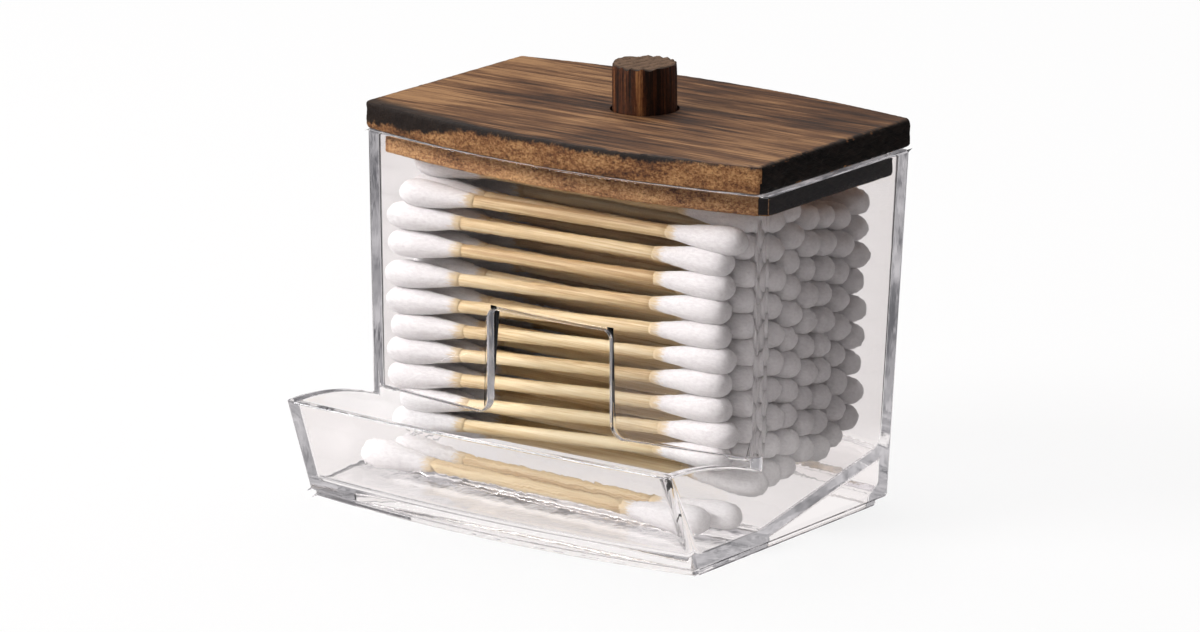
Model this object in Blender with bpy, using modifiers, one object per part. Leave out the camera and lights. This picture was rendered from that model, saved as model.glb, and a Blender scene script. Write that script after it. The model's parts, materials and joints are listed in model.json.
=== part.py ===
"""Cotton swab holder: a clear dispenser bin with a wooden lid, filled with bamboo swabs.

Metres, +Z up. The tray faces -Y and the lid's long side lies along X.
The origin is the centre of the footprint, on the table.
"""
import math

import bmesh
import bpy
from mathutils import Matrix, Vector

MM = 0.001

# Clear bin, outer sizes. Front and back walls bulge outwards between the side walls.
RIM_Z = 62.3 * MM
RIM_HALF_WIDTH = 43.0 * MM
RIM_HALF_DEPTH = 21.5 * MM
BASE_Z = 1.2 * MM
BASE_BACK_Y = 16.8 * MM
FRONT_BULGE = 4.6 * MM
BACK_BULGE = 3.9 * MM
FOOT_BULGE = 4.2 * MM
SIDE_DRAFT = 0.015
WALL = 2.0 * MM
OUTER_CORNER = 1.0 * MM
INNER_CORNER = 0.8 * MM

# Dispensing slot and finger notch in the front wall
FOOT_Y = -22.0 * MM
FOOT_Z = 16.2 * MM
CREASE_Y = FOOT_Y + OUTER_CORNER
NOTCH_HALF_WIDTH = 13.1 * MM
NOTCH_TOP_Z = 35.2 * MM
NOTCH_TOP_RADIUS = 1.5 * MM
NOTCH_FLARE = 3.0 * MM
NOTCH_DEPTH = 16.0 * MM

# Tray in front of the slot: a leaning lip between two wings with arched tops
LIP_Y = -47.0 * MM
LIP_Z = 19.0 * MM
LIP_BULGE = 0.9 * MM
TRAY_BASE_Y = -39.9 * MM
TRAY_BASE_BULGE = 3.6 * MM
TRAY_HEEL = 1.2 * MM
WING_END_Z = 14.3 * MM
WING_ARCH = 1.35 * MM
WING_TAPER = 0.042
WING_STEPS = 6
FLOOR_Z = 3.4 * MM
TRAY_FLOOR_FRONT_Y = -37.7 * MM
TRAY_BACK_Y = -31.0 * MM
RAMP_SLOPE = 0.194
RAMP_THICKNESS = 2.15 * MM
RAMP_FILLET = 2.6 * MM

# Foot ring under the bin and the hollow inside it
FOOT_RING_BACK_Y = 14.2 * MM
FOOT_RING_INSET = 0.6 * MM
FOOT_RING_SUNK = 0.5 * MM
HOLLOW_FRONT_Y = -17.6 * MM
HOLLOW_BACK_Y = 12.2 * MM
HOLLOW_STEP_Z = 1.8 * MM
HOLLOW_SKIRT_Z = 3.6 * MM

# Wooden lid
LID_HALF_WIDTH = 42.8 * MM
LID_HALF_DEPTH = 22.6 * MM
LID_FRONT_BULGE = 5.2 * MM
LID_BACK_BULGE = 4.1 * MM
LID_THICKNESS = 5.1 * MM
LID_CORNER = 1.3 * MM
LID_EDGE = 0.7 * MM
PLUG_HALF_WIDTH = 40.6 * MM
PLUG_HALF_DEPTH = 19.0 * MM
PLUG_DEPTH = 4.1 * MM
PLUG_CORNER = 1.6 * MM
KNOB_X = 0.8 * MM
KNOB_Y = 1.3 * MM
KNOB_RADIUS = 5.75 * MM
KNOB_TOP_Z = 76.0 * MM
KNOB_HOLE_RADIUS = 6.1 * MM
KNOB_HOLE_DEPTH = 2.5 * MM
KNOB_CHAMFER = 0.4 * MM

# Cotton swabs
SWAB_HALF_LENGTH = 36.9 * MM
STICK_RADIUS = 1.2 * MM
TIP_RADIUS = 2.05 * MM
TIP_SHOULDER = 2.6 * MM
TIP_WAIST = 5.2 * MM
TIP_START = 22.0 * MM
PRESSED_TIP_RADIUS = 2.37 * MM

# The pile's front column, from the bottom up: heights of the left and the right end, middle's x
FRONT_COLUMN = [
    (9.6 * MM, 14.7 * MM, -3.2 * MM),
    (13.8 * MM, 18.9 * MM, -1.5 * MM),
    (18.1 * MM, 23.2 * MM, -3.0 * MM),
    (22.6 * MM, 27.7 * MM, -3.1 * MM),
    (27.1 * MM, 31.9 * MM, -2.2 * MM),
    (31.6 * MM, 36.1 * MM, -3.2 * MM),
    (36.5 * MM, 40.5 * MM, -3.2 * MM),
    (42.2 * MM, 44.7 * MM, -2.5 * MM),
    (47.2 * MM, 48.9 * MM, -2.6 * MM),
    (51.7 * MM, 53.0 * MM, 0.2 * MM),
]
# The columns behind it: lowest swab's height, pitch and number of swabs
SINGLE_COLUMNS = {
    1: (9.0 * MM, 4.69 * MM, 11),
    2: (9.6 * MM, 5.01 * MM, 10),
    6: (12.75 * MM, 4.74 * MM, 9),
    7: (14.9 * MM, 4.7 * MM, 9),
}
PRESSED_COLUMNS = {
    3: (10.0 * MM, 4.53 * MM, 11),
    4: (12.2 * MM, 4.53 * MM, 10),
    5: (11.35 * MM, 4.53 * MM, 10),
}
PILE_COLUMNS = 1 + len(SINGLE_COLUMNS) + len(PRESSED_COLUMNS)
PILE_STATION = 0.88
PILE_CENTRE_X = -1.0 * MM
SHIFT_WAVE = (0.5 * MM, 2.4, 1.7)
RISE_WAVE = (0.35 * MM, 0.5, 0.7)
TURN_WAVE = (0.05 * MM, 0.6, -0.8)
TRAY_SWAB = (-2.3 * MM, -27.9 * MM)
SLOT_SWAB = (0.7 * MM, -22.8 * MM)

GAP = 0.3 * MM
BEYOND = 1.7 * MM
ARC_STEPS = 14
CORNER_STEPS = 3
SWAB_SIDES = 8

# The footprint runs from the lip's front to the lid's back edge.
BIN_Y = -(LIP_Y - LIP_BULGE + LID_HALF_DEPTH + LID_BACK_BULGE) / 2
LID_UNDERSIDE_Z = RIM_Z + GAP
LID_TOP_Z = LID_UNDERSIDE_Z + LID_THICKNESS


def clear_scene():
    for item in list(bpy.data.objects):
        bpy.data.objects.remove(item, do_unlink=True)


def new_collection(name):
    collection = bpy.data.collections.new(name)
    bpy.context.scene.collection.children.link(collection)
    return collection


def new_material(name, colour, roughness, transmission=0.0):
    material = bpy.data.materials.new(name)
    material.use_nodes = True
    shader = material.node_tree.nodes["Principled BSDF"]
    shader.inputs["Base Color"].default_value = (*colour, 1.0)
    shader.inputs["Roughness"].default_value = roughness
    shader.inputs["Metallic"].default_value = 0.0
    shader.inputs["Transmission Weight"].default_value = transmission
    return material


def new_empty(name, collection, location):
    empty = bpy.data.objects.new(name, None)
    empty.empty_display_size = 0.01
    empty.location = location
    collection.objects.link(empty)
    return empty


def new_object(name, mesh, collection, parent, materials=()):
    item = bpy.data.objects.new(name, mesh)
    collection.objects.link(item)
    item.parent = parent
    for material in materials:
        mesh.materials.append(material)
    return item


def boolean(target, cutter, operation):
    """Apply a Boolean to the target's own mesh, in the order the calls are made."""
    cutter.hide_render = True
    cutter.display_type = "WIRE"
    modifier = target.modifiers.new(f"{operation.lower()} {cutter.name}", "BOOLEAN")
    modifier.operation = operation
    modifier.solver = "EXACT"
    modifier.object = cutter


# Bin walls. A station s runs from -1 at the left wall to 1 at the right one.

def corner_pull(s, radius):
    """How far a rounded upright corner has turned in at station s."""
    flat = RIM_HALF_WIDTH - radius
    turned = max(0.0, (abs(s) * RIM_HALF_WIDTH - flat) / radius)
    return radius * (1.0 - math.sqrt(1.0 - min(turned, 1.0) ** 2))


def front_y(corner_y, bulge, s, radius):
    return corner_y - bulge * (1.0 - s * s) + corner_pull(s, radius)


def back_y(corner_y, bulge, s, radius):
    return corner_y + bulge * (1.0 - s * s) - corner_pull(s, radius)


def bin_half_width(z):
    return RIM_HALF_WIDTH - SIDE_DRAFT * (RIM_Z - z)


def stations():
    flat = 1.0 - OUTER_CORNER / RIM_HALF_WIDTH
    middle = [flat * (2.0 * i / ARC_STEPS - 1.0) for i in range(ARC_STEPS + 1)]
    corner = []
    for i in range(1, CORNER_STEPS + 1):
        turn = math.sin(0.5 * math.pi * i / CORNER_STEPS)
        corner.append(flat + (1.0 - flat) * turn)
    return [-s for s in reversed(corner)] + middle + corner


def loft_across(name, profile, end_faces, collection, parent, materials=()):
    """Close a solid from profiles in the YZ plane, one at each station across the width."""
    work = bmesh.new()
    rows = [[work.verts.new(point) for point in profile(s)] for s in stations()]
    count = len(rows[0])
    for row, following in zip(rows, rows[1:]):
        for i in range(count):
            j = (i + 1) % count
            work.faces.new((row[i], row[j], following[j], following[i]))
    for row in (rows[0], rows[-1]):
        for indices in end_faces:
            work.faces.new([row[i] for i in indices])
    bmesh.ops.recalc_face_normals(work, faces=work.faces)
    mesh = bpy.data.meshes.new(name)
    work.to_mesh(mesh)
    work.free()
    return new_object(name, mesh, collection, parent, materials)


def wing_inset(y, z):
    """The wings draw in upwards and forwards, from the base and from the bin's corner."""
    return WING_TAPER * max(0.0, CREASE_Y - y) * (z - BASE_Z) / (LIP_Z - BASE_Z)


def wing_top_z(y):
    t = (y - LIP_Y) / (CREASE_Y - LIP_Y)
    return LIP_Z + (WING_END_Z - LIP_Z) * t + WING_ARCH * 4.0 * t * (1.0 - t)


def ramp_z(y):
    return FLOOR_Z + RAMP_SLOPE * max(0.0, y - CREASE_Y)


def outer_profile(s):
    lip = front_y(LIP_Y, LIP_BULGE, s, OUTER_CORNER)
    foot = front_y(FOOT_Y, FOOT_BULGE, s, OUTER_CORNER)
    lip_inset = wing_inset(LIP_Y + OUTER_CORNER, LIP_Z)
    points = [
        (back_y(RIM_HALF_DEPTH, BACK_BULGE, s, OUTER_CORNER), RIM_Z, 0.0),
        (back_y(BASE_BACK_Y, BACK_BULGE, s, OUTER_CORNER), BASE_Z, 0.0),
        (CREASE_Y, BASE_Z, 0.0),
        (front_y(TRAY_BASE_Y, TRAY_BASE_BULGE, s, OUTER_CORNER), BASE_Z, 0.0),
        (lip, wing_top_z(lip), lip_inset),
    ]
    for i in range(1, WING_STEPS):
        t = i / WING_STEPS
        y = lip + (foot - lip) * t
        points.append((y, wing_top_z(y), lip_inset * (1.0 - t)))
    points.append((foot, wing_top_z(foot), 0.0))
    points.append((front_y(-RIM_HALF_DEPTH, FRONT_BULGE, s, OUTER_CORNER), RIM_Z, 0.0))
    return [(s * (bin_half_width(z) - inset), y, z) for y, z, inset in points]


def inner_back_y(z, s):
    lean = (RIM_HALF_DEPTH - BASE_BACK_Y) / (RIM_Z - BASE_Z)
    corner_y = RIM_HALF_DEPTH - WALL - lean * (RIM_Z - z)
    return back_y(corner_y, BACK_BULGE, s, INNER_CORNER)


def ramp_end(s):
    """Where the ramp's plane meets the back wall's inner face."""
    y = BASE_BACK_Y
    for _ in range(3):
        y = inner_back_y(ramp_z(y), s)
    return Vector((y, ramp_z(y)))


def ramp_fillet(s):
    corner = ramp_end(s)
    along_ramp = Vector((-1.0, -RAMP_SLOPE)).normalized()
    up_wall = Vector((inner_back_y(RIM_Z, s), RIM_Z)) - corner
    start = corner + along_ramp * RAMP_FILLET
    end = corner + up_wall.normalized() * RAMP_FILLET
    points = []
    for i in range(4):
        t = i / 3.0
        points.append(start * (1.0 - t) ** 2 + corner * 2.0 * t * (1.0 - t) + end * t * t)
    return points


def cavity_profile(s):
    top = RIM_Z + BEYOND
    over_tray = LIP_Z + 2.0 * BEYOND
    lip_lean = (TRAY_FLOOR_FRONT_Y - TRAY_HEEL - LIP_Y - WALL) / (FLOOR_Z + TRAY_HEEL - LIP_Z)
    lip_top = LIP_Y + WALL + lip_lean * (over_tray - LIP_Z)
    front = [
        (front_y(-RIM_HALF_DEPTH + WALL, FRONT_BULGE, s, INNER_CORNER), top, 0.0),
        (front_y(FOOT_Y + WALL, FOOT_BULGE, s, INNER_CORNER), FOOT_Z, 0.0),
        (CREASE_Y - FOOT_BULGE * (1.0 - s * s), FOOT_Z, 0.0),
    ]
    tray = [
        (front_y(FOOT_Y - GAP, FOOT_BULGE, s, OUTER_CORNER), FOOT_Z),
        (TRAY_BACK_Y, over_tray),
        (front_y(lip_top, LIP_BULGE, s, INNER_CORNER), over_tray),
        (front_y(TRAY_FLOOR_FRONT_Y - TRAY_HEEL, TRAY_BASE_BULGE, s, INNER_CORNER),
         FLOOR_Z + TRAY_HEEL),
        (front_y(TRAY_FLOOR_FRONT_Y, TRAY_BASE_BULGE, s, INNER_CORNER), FLOOR_Z),
    ]
    back = [(CREASE_Y, FLOOR_Z, 0.0)]
    back += [(point.x, point.y, 0.0) for point in ramp_fillet(s)]
    back.append((inner_back_y(top, s), top, 0.0))
    points = front + [(y, z, wing_inset(y, z)) for y, z in tray] + back
    return [(s * (bin_half_width(z) - WALL - inset), y, z) for y, z, inset in points]


def hollow_profile(s):
    end = ramp_end(s)
    ring = back_y(HOLLOW_BACK_Y, BACK_BULGE, s, INNER_CORNER)
    points = [
        (HOLLOW_FRONT_Y, -BEYOND),
        (ring, -BEYOND),
        (ring, HOLLOW_STEP_Z),
        (inner_back_y(HOLLOW_SKIRT_Z, s), HOLLOW_SKIRT_Z),
        (end.x - GAP, end.y - RAMP_THICKNESS),
        (HOLLOW_FRONT_Y, ramp_z(HOLLOW_FRONT_Y) - RAMP_THICKNESS),
    ]
    return [(s * (bin_half_width(z) - WALL), y, z) for y, z in points]


def foot_ring_profile(s):
    back = back_y(FOOT_RING_BACK_Y, BACK_BULGE, s, OUTER_CORNER)
    front = front_y(TRAY_BASE_Y + FOOT_RING_INSET, TRAY_BASE_BULGE, s, OUTER_CORNER)
    top = BASE_Z + FOOT_RING_SUNK
    half_width = bin_half_width(0.0) - FOOT_RING_INSET
    return [(s * half_width, y, z) for y, z in ((back, 0.0), (back, top), (front, top), (front, 0.0))]


def arc(centre, radius, start, end, steps):
    """Points on an arc, angles in degrees."""
    points = []
    for i in range(steps + 1):
        angle = math.radians(start + (end - start) * i / steps)
        points.append((centre[0] + radius * math.cos(angle), centre[1] + radius * math.sin(angle)))
    return points


def mirrored(half_outline):
    """Close an outline from its +X half, listed from bottom to top."""
    return half_outline + [(-x, y) for x, y in reversed(half_outline)]


def extruded_mesh(name, outline, thickness):
    """A flat outline, thickened evenly to both sides of its plane, as a welded mesh."""
    curve = bpy.data.curves.new(name, "CURVE")
    curve.dimensions = "2D"
    curve.fill_mode = "BOTH"
    curve.extrude = thickness / 2.0
    spline = curve.splines.new("POLY")
    spline.points.add(len(outline) - 1)
    for point, (x, y) in zip(spline.points, outline):
        point.co = (x, y, 0.0, 1.0)
    spline.use_cyclic_u = True
    holder = bpy.data.objects.new(name, curve)
    bpy.context.scene.collection.objects.link(holder)
    evaluated = holder.evaluated_get(bpy.context.evaluated_depsgraph_get())
    mesh = bpy.data.meshes.new_from_object(evaluated)
    bpy.data.objects.remove(holder, do_unlink=True)
    work = bmesh.new()
    work.from_mesh(mesh)
    bmesh.ops.remove_doubles(work, verts=work.verts, dist=1e-6)
    bmesh.ops.recalc_face_normals(work, faces=work.faces)
    work.to_mesh(mesh)
    work.free()
    mesh.name = name
    return mesh


def build_notch_cutter(collection, parent):
    """The finger notch, flared where it runs out into the slot, as seen from the front."""
    low = FOOT_Z - 0.05 * MM
    flare_centre = (NOTCH_HALF_WIDTH + NOTCH_FLARE, low + NOTCH_FLARE)
    top_centre = (NOTCH_HALF_WIDTH - NOTCH_TOP_RADIUS, NOTCH_TOP_Z - NOTCH_TOP_RADIUS)
    right = [(NOTCH_HALF_WIDTH + NOTCH_FLARE, low - 0.5 * WALL)]
    right += arc(flare_centre, NOTCH_FLARE, 270.0, 180.0, 5)
    right += arc(top_centre, NOTCH_TOP_RADIUS, 0.0, 90.0, 3)
    mesh = extruded_mesh("notch", mirrored(right), NOTCH_DEPTH)
    cutter = new_object("notch", mesh, collection, parent)
    cutter.location = (0.0, FOOT_Y, 0.0)
    cutter.rotation_euler = (math.radians(90.0), 0.0, 0.0)
    return cutter


def build_clear_bin(collection, cutters, parent):
    plastic = new_material("clear plastic", (0.95, 0.96, 0.97), 0.03, 1.0)
    wall_foot = 5 + WING_STEPS - 1
    side_face = (0, 1, 2, wall_foot, wall_foot + 1)
    wing_face = tuple(range(2, wall_foot + 1))
    body = loft_across("clear_bin", outer_profile, (side_face, wing_face), collection, parent,
                       (plastic,))
    ring = loft_across("foot ring", foot_ring_profile, ((0, 1, 2, 3),), cutters, parent)
    cavity_sides = ((0, 1, 2, 8, 9, 10, 11, 12, 13), (2, 3, 4, 5, 6, 7, 8))
    cavity = loft_across("cavity", cavity_profile, cavity_sides, cutters, parent)
    hollow = loft_across("underside hollow", hollow_profile, ((0, 1, 2, 3, 4, 5),), cutters,
                         parent)
    notch = build_notch_cutter(cutters, parent)
    boolean(body, ring, "UNION")
    boolean(body, cavity, "DIFFERENCE")
    boolean(body, hollow, "DIFFERENCE")
    boolean(body, notch, "DIFFERENCE")
    return body


def barrel_outline(half_width, half_depth, front_bulge, back_bulge, corner):
    """A rectangle whose long sides are arched outwards, with rounded corners."""
    flat = half_width - corner
    turn = arc((flat, corner - half_depth), corner, -60.0, 0.0, 2)
    outline = []
    for bulge, side in ((front_bulge, 1.0), (back_bulge, -1.0)):
        for i in range(ARC_STEPS + 1):
            u = 2.0 * i / ARC_STEPS - 1.0
            outline.append((side * flat * u, -side * (half_depth + bulge * (1.0 - u * u))))
        outline += [(side * x, side * y) for x, y in turn]
    return outline


def build_lid(collection, cutters, parent):
    wood = new_material("dark stained wood", (0.20, 0.11, 0.06), 0.55)
    plug_wood = new_material("lighter fibrous wood", (0.38, 0.22, 0.11), 0.65)
    knob_wood = new_material("red brown dowel", (0.16, 0.07, 0.04), 0.5)

    outline = barrel_outline(LID_HALF_WIDTH, LID_HALF_DEPTH, LID_FRONT_BULGE, LID_BACK_BULGE,
                             LID_CORNER)
    mesh = extruded_mesh("lid_board", outline, LID_THICKNESS)
    board = new_object("lid_board", mesh, collection, parent, (wood,))
    board.location.z = LID_UNDERSIDE_Z + LID_THICKNESS / 2.0 - RIM_Z
    bevel = board.modifiers.new("rounded edges", "BEVEL")
    bevel.width = LID_EDGE
    bevel.segments = 2
    bevel.limit_method = "ANGLE"
    bevel.angle_limit = math.radians(60.0)

    bpy.ops.mesh.primitive_cylinder_add(
        vertices=32, radius=KNOB_HOLE_RADIUS, depth=2.0 * KNOB_HOLE_DEPTH)
    hole = bpy.context.object
    hole.name = "knob hole"
    for owner in list(hole.users_collection):
        owner.objects.unlink(hole)
    cutters.objects.link(hole)
    hole.parent = parent
    hole.location = (KNOB_X, KNOB_Y, LID_TOP_Z - RIM_Z)
    boolean(board, hole, "DIFFERENCE")

    outline = barrel_outline(PLUG_HALF_WIDTH, PLUG_HALF_DEPTH, FRONT_BULGE, BACK_BULGE, PLUG_CORNER)
    mesh = extruded_mesh("lid_plug", outline, PLUG_DEPTH)
    plug = new_object("lid_plug", mesh, collection, parent, (plug_wood,))
    plug.location.z = LID_UNDERSIDE_Z - GAP - PLUG_DEPTH / 2.0 - RIM_Z

    bottom = LID_TOP_Z - KNOB_HOLE_DEPTH + GAP
    knob_mesh = turned_mesh("lid_knob", [
        (0.0, KNOB_TOP_Z - bottom),
        (KNOB_RADIUS - KNOB_CHAMFER, KNOB_TOP_Z - bottom),
        (KNOB_RADIUS, KNOB_TOP_Z - KNOB_CHAMFER - bottom),
        (KNOB_RADIUS, 0.0),
        (0.0, 0.0),
    ], 28)
    knob = new_object("lid_knob", knob_mesh, collection, parent, (knob_wood,))
    knob.location = (KNOB_X, KNOB_Y, bottom - RIM_Z)


def turned_mesh(name, profile, sides):
    """Turn a profile of (radius, height) points about Z, listed from the top down."""
    mesh = bpy.data.meshes.new(name)
    points = [(radius, 0.0, height) for radius, height in profile]
    mesh.from_pydata(points, [(i, i + 1) for i in range(len(points) - 1)], [])
    holder = bpy.data.objects.new(name, mesh)
    bpy.context.scene.collection.objects.link(holder)
    screw = holder.modifiers.new("turned", "SCREW")
    screw.steps = sides
    screw.render_steps = sides
    screw.use_merge_vertices = True
    screw.merge_threshold = 1e-6
    evaluated = holder.evaluated_get(bpy.context.evaluated_depsgraph_get())
    turned = bpy.data.meshes.new_from_object(evaluated)
    bpy.data.objects.remove(holder, do_unlink=True)
    turned.shade_smooth()
    turned.set_sharp_from_angle(angle=math.radians(50.0))
    turned.name = name
    return turned


def swab_mesh(name, tip_radius, materials):
    half = [
        (0.0, SWAB_HALF_LENGTH),
        (0.5 * tip_radius, SWAB_HALF_LENGTH),
        (tip_radius, SWAB_HALF_LENGTH - TIP_SHOULDER),
        (0.9 * tip_radius, TIP_START + TIP_WAIST),
        (STICK_RADIUS, TIP_START),
    ]
    profile = half + [(radius, -height) for radius, height in reversed(half)]
    mesh = turned_mesh(name, profile, SWAB_SIDES)
    for material in materials:
        mesh.materials.append(material)
    for polygon in mesh.polygons:
        polygon.material_index = 1 if abs(polygon.center.z) < 0.5 * TIP_START else 0
    return mesh


def along_x(centre, rise=0.0, turn=0.0):
    """Lay a swab from left to right: rise lifts its right end and turn draws it back."""
    direction = Vector((SWAB_HALF_LENGTH, turn, rise))
    return Matrix.Translation(centre) @ direction.to_track_quat("Z", "Y").to_matrix().to_4x4()


def place_swab(name, mesh, matrix, collection, parent):
    swab = bpy.data.objects.new(name, mesh)
    collection.objects.link(swab)
    swab.parent = parent
    swab.matrix_basis = matrix
    return swab


def column_y(column, z):
    """Columns spread evenly between the walls, which come nearest at the tips' shoulders."""
    reach = TIP_RADIUS + GAP
    inner_front = front_y(-RIM_HALF_DEPTH + WALL, FRONT_BULGE, PILE_STATION, INNER_CORNER)
    front = inner_front + reach
    back = inner_back_y(z, PILE_STATION) - reach
    return front + (back - front) * column / (PILE_COLUMNS - 1)


def wave(shape, column, row):
    size, per_row, per_column = shape
    return size * math.sin(per_row * row + per_column * column)


def pile_centre(column, row, z):
    x = PILE_CENTRE_X + wave(SHIFT_WAVE, column, row)
    return Vector((x, column_y(column, z), z))


def build_pressed_column(column, mesh, collection, cutters, parent):
    """Tips pressed into one another: the odd rows are joined to the even ones."""
    low, pitch, count = PRESSED_COLUMNS[column]
    halves = []
    for first in (0, 1):
        work = bmesh.new()
        for row in range(first, count, 2):
            present = len(work.verts)
            work.from_mesh(mesh)
            work.verts.ensure_lookup_table()
            matrix = along_x(pile_centre(column, row, low + row * pitch))
            half_side = Matrix.Rotation(first * math.pi / SWAB_SIDES, 4, "Z")
            bmesh.ops.transform(work, matrix=matrix @ half_side, verts=work.verts[present:])
        name = f"swab_column_{column + 1}"
        half = bpy.data.meshes.new(name)
        work.to_mesh(half)
        work.free()
        halves.append(half)
    body = new_object(name, halves[0], collection, parent, mesh.materials)
    odd_rows = new_object(f"{name} odd rows", halves[1], cutters, parent, mesh.materials)
    boolean(body, odd_rows, "UNION")


def build_swabs(collection, cutters, parent):
    cotton = new_material("cotton", (0.86, 0.84, 0.85), 0.95)
    bamboo = new_material("bamboo stick", (0.78, 0.60, 0.36), 0.6)
    mesh = swab_mesh("swab", TIP_RADIUS, (cotton, bamboo))
    for row, (left_z, right_z, x) in enumerate(FRONT_COLUMN):
        z = (left_z + right_z) / 2.0
        matrix = along_x((x, column_y(0, z), z), (right_z - left_z) / 2.0)
        place_swab(f"swab_column_1_row_{row + 1:02d}", mesh, matrix, collection, parent)
    for column, (low, pitch, count) in SINGLE_COLUMNS.items():
        for row in range(count):
            matrix = along_x(pile_centre(column, row, low + row * pitch),
                             wave(RISE_WAVE, column, row), wave(TURN_WAVE, column, row))
            name = f"swab_column_{column + 1}_row_{row + 1:02d}"
            place_swab(name, mesh, matrix, collection, parent)

    pressed = swab_mesh("pressed swab", PRESSED_TIP_RADIUS, (cotton, bamboo))
    for column in PRESSED_COLUMNS:
        build_pressed_column(column, pressed, collection, cutters, parent)

    z = FLOOR_Z + TIP_RADIUS + GAP
    place_swab("swab_in_tray", mesh, along_x((*TRAY_SWAB, z)), collection, parent)
    place_swab("swab_under_slot", mesh, along_x((*SLOT_SWAB, z)), collection, parent)


def build():
    clear_scene()
    parts = new_collection("cotton swab holder")
    cutters = new_collection("cutters")
    bin_centre = new_empty("bin centre", parts, (0.0, BIN_Y, 0.0))
    lid_seat = new_empty("lid seat", parts, (0.0, BIN_Y, RIM_Z))
    build_clear_bin(parts, cutters, bin_centre)
    build_lid(parts, cutters, lid_seat)
    build_swabs(parts, cutters, bin_centre)


build()
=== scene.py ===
import json
import math

import bmesh
import bpy
from mathutils import Matrix, Vector, noise


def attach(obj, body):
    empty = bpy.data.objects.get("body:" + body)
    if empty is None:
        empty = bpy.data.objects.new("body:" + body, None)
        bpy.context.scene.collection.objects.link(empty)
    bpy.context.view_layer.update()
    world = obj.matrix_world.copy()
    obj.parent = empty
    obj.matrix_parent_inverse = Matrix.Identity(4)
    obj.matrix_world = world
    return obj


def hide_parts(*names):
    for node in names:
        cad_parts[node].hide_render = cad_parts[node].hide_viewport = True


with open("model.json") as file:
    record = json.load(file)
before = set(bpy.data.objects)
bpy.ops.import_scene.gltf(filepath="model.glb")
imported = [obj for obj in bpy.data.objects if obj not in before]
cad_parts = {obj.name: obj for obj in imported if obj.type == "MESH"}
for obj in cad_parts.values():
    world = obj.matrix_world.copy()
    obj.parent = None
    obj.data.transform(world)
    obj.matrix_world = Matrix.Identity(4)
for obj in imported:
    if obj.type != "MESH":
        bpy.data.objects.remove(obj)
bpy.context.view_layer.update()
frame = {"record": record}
mm = 0.001
binY = 10.6  # mm from the footprint's centre back to the bin's centre
print("frame loaded")


# small helpers for shaders

def feed(tree, value, socket):
    if isinstance(value, Signal):
        tree.links.new(value.socket, socket)
    elif socket.type == "RGBA":
        socket.default_value = (*value, 1.0)
    else:
        socket.default_value = value


def reckon(operation, flipped=False):
    # a method of Signal that adds a Math node
    def method(self, other=None):
        node = self.tree.nodes.new("ShaderNodeMath")
        node.operation = operation
        for value, socket in zip((other, self) if flipped else (self, other), node.inputs):
            if value is not None:
                feed(self.tree, value, socket)
        return Signal(self.tree, node.outputs[0])
    return method


class Signal:
    # a node's output that can be reckoned with like a number
    def __init__(self, tree, socket):
        self.tree = tree
        self.socket = socket

    __gt__ = reckon("GREATER_THAN")
    __add__ = __radd__ = reckon("ADD")
    __mul__ = __rmul__ = reckon("MULTIPLY")
    __sub__ = reckon("SUBTRACT")
    __rsub__ = reckon("SUBTRACT", flipped=True)
    __truediv__ = reckon("DIVIDE")
    __pow__ = reckon("POWER")
    __abs__ = reckon("ABSOLUTE")
    least = reckon("MINIMUM")
    most = reckon("MAXIMUM")


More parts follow.
